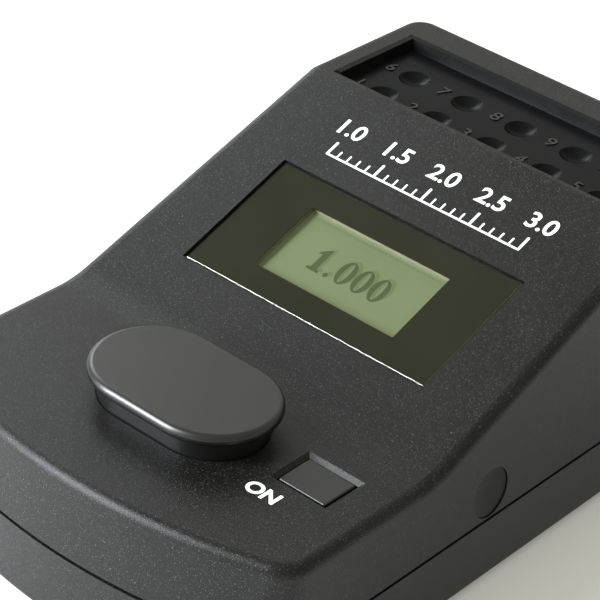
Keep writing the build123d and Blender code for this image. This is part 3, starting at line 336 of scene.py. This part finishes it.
# ---------------------------------------------------------------- materials
def make_materials():
    """Every material, by the short name that MATERIAL_OF uses."""
    m = {}
    # the case's grain carries painted glints
    m["case"] = plastic("case_plastic", (0.0040, 0.0041, 0.0034), (0.0056, 0.0057, 0.0048), 0.36,
                        grain=4200, grain_depth=0.07, strength=1.0, specular=0.22,
                        painted_glint=(0.13, 0.135, 0.14))
    m["cap"] = plastic("cap_plastic", (0.0042, 0.0043, 0.0042), (0.0055, 0.0056, 0.0054), 0.34,
                       grain=5200, grain_depth=0.012, strength=0.35, specular=0.55)
    m["button"] = plastic("button_plastic", (0.008, 0.0082, 0.0076), (0.011, 0.0113, 0.0105),
                          0.36, grain=4600, grain_depth=0.012, strength=0.35, specular=0.45)
    m["tray"] = plastic("tray_plastic", (0.004, 0.004, 0.0045), (0.006, 0.006, 0.0065), 0.26,
                        grain=4200, grain_depth=0.01, strength=0.3, specular=0.05)
    # the raised figures are the tray's own plastic; their lighter colour is painted light on them,
    # their gloss is real
    m["figures"] = plastic("tray_figures", (0.006, 0.006, 0.0065), (0.009, 0.009, 0.0095), 0.22,
                           grain=4200, grain_depth=0.004, strength=0.3, specular=0.35)
    m["plug"] = plastic("plug_plastic", (0.006, 0.006, 0.006), (0.008, 0.008, 0.0078), 0.36,
                        grain=4800, grain_depth=0.01, strength=0.3, specular=0.15)
    m["rubber"] = plastic("foot_rubber", (0.012, 0.012, 0.012), (0.02, 0.02, 0.019), 0.78,
                          grain=1800, grain_depth=0.03, strength=0.5)
    m["black"] = plastic("inner_black", (0.01, 0.01, 0.01), (0.018, 0.018, 0.018), 0.5)
    m["parts"] = plastic("component_body", (0.05, 0.045, 0.04), (0.16, 0.14, 0.11), 0.4,
                         mottle=300)
    m["felt"] = plastic("cap_felt", (0.008, 0.008, 0.008), (0.02, 0.02, 0.02), 0.95,
                        grain=2200, grain_depth=0.15, strength=1.0)
    m["bezel"] = plastic("bezel_plastic", (0.21, 0.20, 0.13), (0.26, 0.25, 0.17), 0.4,
                         grain=3000, grain_depth=0.005, strength=0.2)
    m["diffuser"] = plastic("diffuser", (0.55, 0.6, 0.45), (0.65, 0.7, 0.52), 0.35)
    m["zebra"] = plastic("zebra_rubber", (0.30, 0.10, 0.11), (0.36, 0.14, 0.15), 0.6)
    m["ribbon"] = striped("ribbon_film", "X", 0.00127, (0.30, 0.30, 0.28), (0.44, 0.44, 0.42), 0.45)
    m["sleeve"] = striped("cell_sleeve", "X", 0.0445, (0.42, 0.40, 0.36), (0.05, 0.055, 0.07), 0.3)
    m["wire"] = plastic("wire_sheath", (0.28, 0.02, 0.015), (0.36, 0.03, 0.02), 0.42)
    m["diode"] = plastic("diode_epoxy", (0.04, 0.025, 0.06), (0.06, 0.04, 0.09), 0.12)
    m["sapphire"] = plastic("probe_sapphire", (0.10, 0.12, 0.14), (0.13, 0.15, 0.17), 0.06,
                            grain_depth=0.001)
    m["board"] = circuit_board()
    m["steel"] = metal("screw_steel", (0.55, 0.55, 0.56), 0.3)
    m["turned"] = metal("adapter_steel", (0.58, 0.58, 0.59), 0.26, stretch=(1, 14, 1))
    m["nickel"] = metal("contact_nickel", (0.66, 0.64, 0.6), 0.22)
    m["mask"] = gloss_ink()
    m["lens"] = lens_glass()
    m["lcd"] = lcd_cell("lcd_face", (0.094, 0.110, 0.062), (0.104, 0.121, 0.069))
    m["digit"] = lcd_cell("lcd_digit", (0.038, 0.048, 0.0225), (0.043, 0.054, 0.026))
    m["digit_shade"] = lcd_cell("lcd_digit_shade", (0.074, 0.088, 0.048), (0.082, 0.097, 0.054))
    m["ink"] = plastic("white_ink", (0.78, 0.79, 0.77), (0.88, 0.89, 0.87), 0.45, grain=1500,
                       grain_depth=0.004)
    return m


MATERIAL_OF = {
    "upper_case": "case", "lower_case": "case", "battery_door": "case", "on_button": "button",
    "light_cap": "cap", "stone_tray": "tray", "side_plugs": "plug", "rubber_feet": "rubber",
    "window_lens": "lens", "window_mask": "mask", "lcd_bezel": "bezel", "lcd_front_glass": "lcd",
    "lcd_rear_glass": "lcd", "backlight_panel": "diffuser", "zebra_strips": "zebra",
    "display_board": "board", "optic_board": "board", "button_board": "board",
    "power_board": "board", "controller_chip": "black", "board_components": "parts",
    "buzzer": "black", "optic_block": "black", "switch_body": "black", "switch_plunger": "black",
    "board_spacers": "black", "cap_lining": "felt", "ribbon_cable": "ribbon",
    "battery_cells": "sleeve", "battery_leads": "wire", "light_source": "diode",
    "light_sensor": "diode", "probe_window": "sapphire", "test_adapter": "turned",
    "case_screws": "steel", "display_board_screws": "steel", "adapter_screws": "steel",
    "optic_screws": "steel", "button_board_screws": "steel", "power_board_screws": "steel",
    "power_socket": "steel", "battery_springs": "nickel", "battery_contacts": "nickel",
}


def assign(node, mat):
    """Gives a CAD node one material."""
    obj = NODES[node]
    obj.data.materials.clear()
    obj.data.materials.append(mat)


# ---------------------------------------------------------------- mesh tools
def add_piece(name, mesh, mat, body):
    """Links a mesh as a piece that rides on a body."""
    mesh.materials.clear()
    mesh.materials.append(mat)
    obj = bpy.data.objects.new(name, mesh)
    bpy.context.scene.collection.objects.link(obj)
    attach(obj, body)
    return obj


def mesh_of(name, bm, place):
    """Turns a flat working mesh into a mesh that stands on a place."""
    mesh = bpy.data.meshes.new(name)
    bm.to_mesh(mesh)
    bm.free()
    mesh.transform(place)
    return mesh


def text_mesh(name, text, size, place, thickness, weight=0.0, align="CENTER"):
    """Flat characters standing on a place, as a mesh."""
    curve = bpy.data.curves.new(name, "FONT")
    curve.body = text
    curve.size = size
    curve.align_x = align
    curve.align_y = "CENTER"
    curve.extrude = thickness / 2
    curve.offset = weight
    curve.resolution_u = 5
    holder = bpy.data.objects.new(name + "_curve", curve)
    bpy.context.scene.collection.objects.link(holder)
    bpy.context.view_layer.update()
    mesh = bpy.data.meshes.new_from_object(
        holder.evaluated_get(bpy.context.evaluated_depsgraph_get())
    )
    bpy.data.objects.remove(holder)
    mesh.transform(place @ Matrix.Translation((0, 0, thickness / 2)))
    return mesh


def joined(name, meshes):
    """One mesh from several."""
    bm = bmesh.new()
    for mesh in meshes:
        bm.from_mesh(mesh)
        bpy.data.meshes.remove(mesh)
    out = bpy.data.meshes.new(name)
    bm.to_mesh(out)
    bm.free()
    return out


def thicken(bm, thickness):
    """Gives flat faces a thickness upwards."""
    faces = bmesh.ops.extrude_face_region(bm, geom=bm.faces[:])["geom"]
    raised = [item for item in faces if isinstance(item, bmesh.types.BMVert)]
    bmesh.ops.translate(bm, verts=raised, vec=(0, 0, thickness))
    bmesh.ops.recalc_face_normals(bm, faces=bm.faces)


def polygon(bm, points):
    """Flat face through the points."""
    bm.faces.new([bm.verts.new((x, y, 0)) for x, y in points])


def ring(bm, outer, inner):
    """Flat band between two outlines with the same number of points."""
    rim = [bm.verts.new((x, y, 0)) for x, y in outer]
    hole = [bm.verts.new((x, y, 0)) for x, y in inner]
    for i in range(len(rim)):
        j = (i + 1) % len(rim)
        bm.faces.new((rim[i], rim[j], hole[j], hole[i]))


def oval_points(x, y, half_width, half_height, steps=56):
    """Outline of an oval."""
    turn = [2 * pi * i / steps for i in range(steps)]
    return [(x + half_width * cos(a), y + half_height * sin(a)) for a in turn]


def rounded_points(width, height, radius, steps=6):
    """Outline of a rectangle with rounded corners."""
    points = []
    for i, (sx, sy) in enumerate([(1, 1), (-1, 1), (-1, -1), (1, -1)]):
        for k in range(steps + 1):
            a = pi / 2 * (i + k / steps)
            x = sx * (width / 2 - radius) + radius * cos(a)
            points.append((x, sy * (height / 2 - radius) + radius * sin(a)))
    return points


# ---------------------------------------------------------------- display and mask
def reading_mesh(name, place, thickness):
    """The reading 1.000 in the display's bold upright numerals with feet."""
    bm = bmesh.new()
    half = READING_HEIGHT / 2
    one = ONE_AT * READING_PITCH
    stem = ONE_STEM
    foot = ONE_FOOT
    rise = ONE_FOOT_HEIGHT
    polygon(bm, [
        (one - foot, -half), (one + foot, -half), (one + foot, -half + rise),
        (one + stem, -half + 1.5 * rise), (one + stem, half), (one + 0.4 * stem, half),
        (one - foot, half - 2.6 * rise), (one - foot, half - 3.6 * rise),
        (one - stem, half - 2.9 * rise), (one - stem, -half + 1.5 * rise),
        (one - foot, -half + rise),
    ])
    for i in range(3):
        x = (i + FIRST_ZERO_AT) * READING_PITCH
        hole = oval_points(x, 0, ZERO_HOLE_HALF_WIDTH, half - ZERO_CURVE_THICKNESS)
        ring(bm, oval_points(x, 0, ZERO_HALF_WIDTH, half), hole)
    point_x = POINT_AT * READING_PITCH
    polygon(bm, oval_points(point_x, POINT_RADIUS - half, POINT_RADIUS, POINT_RADIUS))
    thicken(bm, thickness)
    return mesh_of(name, bm, place)


def make_reading(m):
    """The figures, and the paler shadow that they throw on the reflector behind them."""
    place = on_panel(*READING_SHIFT, LCD_DEPTH - READING_STAND)
    figures = reading_mesh("lcd_reading", place, READING_THICKNESS)
    add_piece("lcd_reading", figures, m["digit"], "case")
    place = on_panel(*SHADE_SHIFT, LCD_DEPTH - SHADE_STAND)
    shade = reading_mesh("lcd_reading_shade", place, SHADE_THICKNESS)
    add_piece("lcd_reading_shade", shade, m["digit_shade"], "case")


def make_mask(m):
    """The print behind the lens: a dark frame with rounded corners around the display."""
    bm = bmesh.new()
    outline = rounded_points(MASK_WIDTH, MASK_LENGTH, MASK_CORNER)
    ring(bm, outline, rounded_points(OPENING_WIDTH, OPENING_LENGTH, OPENING_CORNER))
    thicken(bm, MASK_PRINT)
    mesh = mesh_of("window_mask_print", bm, on_panel(0, 0, LENS_BACK + MASK_GAP + MASK_PRINT))
    piece = add_piece("window_mask_print", mesh, m["mask"], "case")
    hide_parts("window_mask")


# ---------------------------------------------------------------- print and raised figures
def strip_mesh(name, width, height, place):
    """Printed strip standing on its lower edge, with clipped corners."""
    bm = bmesh.new()
    clip = min(width, height) * STRIP_CLIP
    half = width / 2
    polygon(bm, [
        (clip - half, 0), (half - clip, 0), (half, clip), (half, height - clip),
        (half - clip, height), (clip - half, height), (-half, height - clip), (-half, clip),
    ])
    thicken(bm, INK)
    return mesh_of(name, bm, place)


def make_scale_print(m):
    """Plain index scale from 1.0 to 3.0, printed above the window."""
    rule_length = 2 * SCALE_HALF + RULE_WIDTH
    marks = [strip_mesh("rule", rule_length, RULE_WIDTH, on_panel(0, SCALE_S, 0))]
    for i in range(SCALE_STEPS + 1):
        x = -SCALE_HALF + 2 * SCALE_HALF * i / SCALE_STEPS
        has_figure = i % STEPS_PER_FIGURE == 0
        width, height = LONG_TICK if has_figure else SHORT_TICK
        marks.append(strip_mesh("tick", width, height, on_panel(x, SCALE_S, 0)))
        if has_figure:
            text = f"{SCALE_START + i * SCALE_STEP:.1f}"
            place = on_panel(x, SCALE_FIGURES_S, 0)
            marks.append(
                text_mesh("figure", text, SCALE_FIGURE_SIZE, place, INK, SCALE_FIGURE_WEIGHT)
            )
    add_piece("scale_print", joined("scale_print", marks), m["ink"], "case")


def make_button_word(m):
    """The word ON, printed on the deck in front of the button."""
    place = Matrix.Translation((button_low.x - WORD_LEFT, button_low.y - WORD_FRONT, DECK_Z))
    word = text_mesh("on_word", "ON", WORD_SIZE, place, INK, WORD_WEIGHT, "LEFT")
    add_piece("on_word", word, m["ink"], "case")


def make_tray_figures(m):
    """Raised numbers beside the wells."""
    figures = []
    floor_z = tray_high.z - TRAY_FLOOR_DROP
    for row in range(WELL_ROWS):
        for column in range(WELLS_PER_ROW):
            x = (column - (WELLS_PER_ROW - 1) / 2) * WELL_PITCH_X - TRAY_FIGURE_LEFT
            y = tray_low.y + FIRST_WELL_ROW + WELL_PITCH_Y * row
            number = str(WELLS_PER_ROW * row + column + 1)
            place = Matrix.Translation((x, y, floor_z))
            size = TRAY_FIGURE_SIZE if len(number) == 1 else TRAY_FIGURE_SIZE_TWO_DIGITS
            figures.append(
                text_mesh("figure", number, size, place, TRAY_FIGURE_RAISE, TRAY_FIGURE_WEIGHT)
            )
    add_piece("tray_figures", joined("tray_figures", figures), m["figures"], "case")


# ---------------------------------------------------------------- camera, lights and floor
CAMERA_AZIMUTH = radians(37.41)
CAMERA_ELEVATION = radians(32.44)
CAMERA_ROLL = radians(6.28)
CAMERA_LENS = 156.7             # millimetres, with a sensor 36 mm wide
CAMERA_PLACE = Vector((0.27327, -0.37290, 0.33352))
SENSOR_WIDTH = 36.0

LIGHT_TARGET = Vector((0, 0, 0.04))
LIGHT_COLOR = (0.90, 0.94, 1.0)
SURROUND_COLOR = (1.0, 1.0, 0.84, 1)
SURROUND_STRENGTH = 0.62
FLOOR_HALF = 1.5
FLOOR_GLOW = 0.12


def make_camera():
    """Long lens above the right front corner, slightly rolled."""
    data = bpy.data.cameras.new("camera")
    data.sensor_width = SENSOR_WIDTH
    data.lens = CAMERA_LENS
    camera = bpy.data.objects.new("camera", data)
    bpy.context.scene.collection.objects.link(camera)
    camera.matrix_world = (
        Matrix.Translation(CAMERA_PLACE)
        @ Matrix.Rotation(CAMERA_AZIMUTH, 4, "Z")
        @ Matrix.Rotation(pi / 2 - CAMERA_ELEVATION, 4, "X")
        @ Matrix.Rotation(CAMERA_ROLL, 4, "Z")
    )
    bpy.context.scene.camera = camera


def area_light(name, at, size, power):
    """Soft box that faces the object and is itself unseen."""
    data = bpy.data.lights.new(name, "AREA")
    data.shape = "RECTANGLE"
    data.size, data.size_y = size
    data.energy = power
    data.color = LIGHT_COLOR
    light = bpy.data.objects.new(name, data)
    bpy.context.scene.collection.objects.link(light)
    aim = (LIGHT_TARGET - Vector(at)).to_track_quat("-Z", "Y")
    light.matrix_world = Matrix.Translation(at) @ aim.to_matrix().to_4x4()
    light.visible_camera = False


def make_lights():
    """White surround, slightly yellow, with three cool soft boxes."""
    world = bpy.data.worlds.new("studio")
    bpy.context.scene.world = world
    world.use_nodes = True
    background = world.node_tree.nodes["Background"]
    background.inputs["Color"].default_value = SURROUND_COLOR
    background.inputs["Strength"].default_value = SURROUND_STRENGTH
    area_light("key_light", (-0.75, 0.28, 0.50), (0.45, 0.40), 3.2)
    area_light("front_box", (-0.44, -0.66, 0.42), (0.26, 0.62), 24.0)
    area_light("rear_panel", (-0.62, 0.80, 0.66), (1.1, 0.8), 1.0)


def make_floor():
    """Pale floor, faintly lit by itself so that it stays near white."""
    bm = bmesh.new()
    bmesh.ops.create_grid(bm, x_segments=1, y_segments=1, size=FLOOR_HALF)
    mesh = bpy.data.meshes.new("floor")
    bm.to_mesh(mesh)
    bm.free()
    floor = bpy.data.objects.new("floor", mesh)
    bpy.context.scene.collection.objects.link(floor)
    mat, tree, shader = new_material("floor_white", (0.9, 0.9, 0.9), 0.6)
    color = tint(tree, noise(tree, 3, 2), (0.88, 0.88, 0.88), (0.92, 0.92, 0.92))
    tree.links.new(color, shader.inputs["Base Color"])
    shader.inputs["Emission Color"].default_value = (1, 1, 1, 1)
    shader.inputs["Emission Strength"].default_value = FLOOR_GLOW
    mesh.materials.append(mat)


# ---------------------------------------------------------------- the whole scene
def main():
    m = make_materials()
    for node, key in MATERIAL_OF.items():
        assign(node, m[key])
    make_mask(m)
    make_reading(m)
    make_scale_print(m)
    make_button_word(m)
    make_tray_figures(m)
    make_camera()
    make_lights()
    make_floor()


bpy.context.scene.view_settings.view_transform = "Standard"
main()
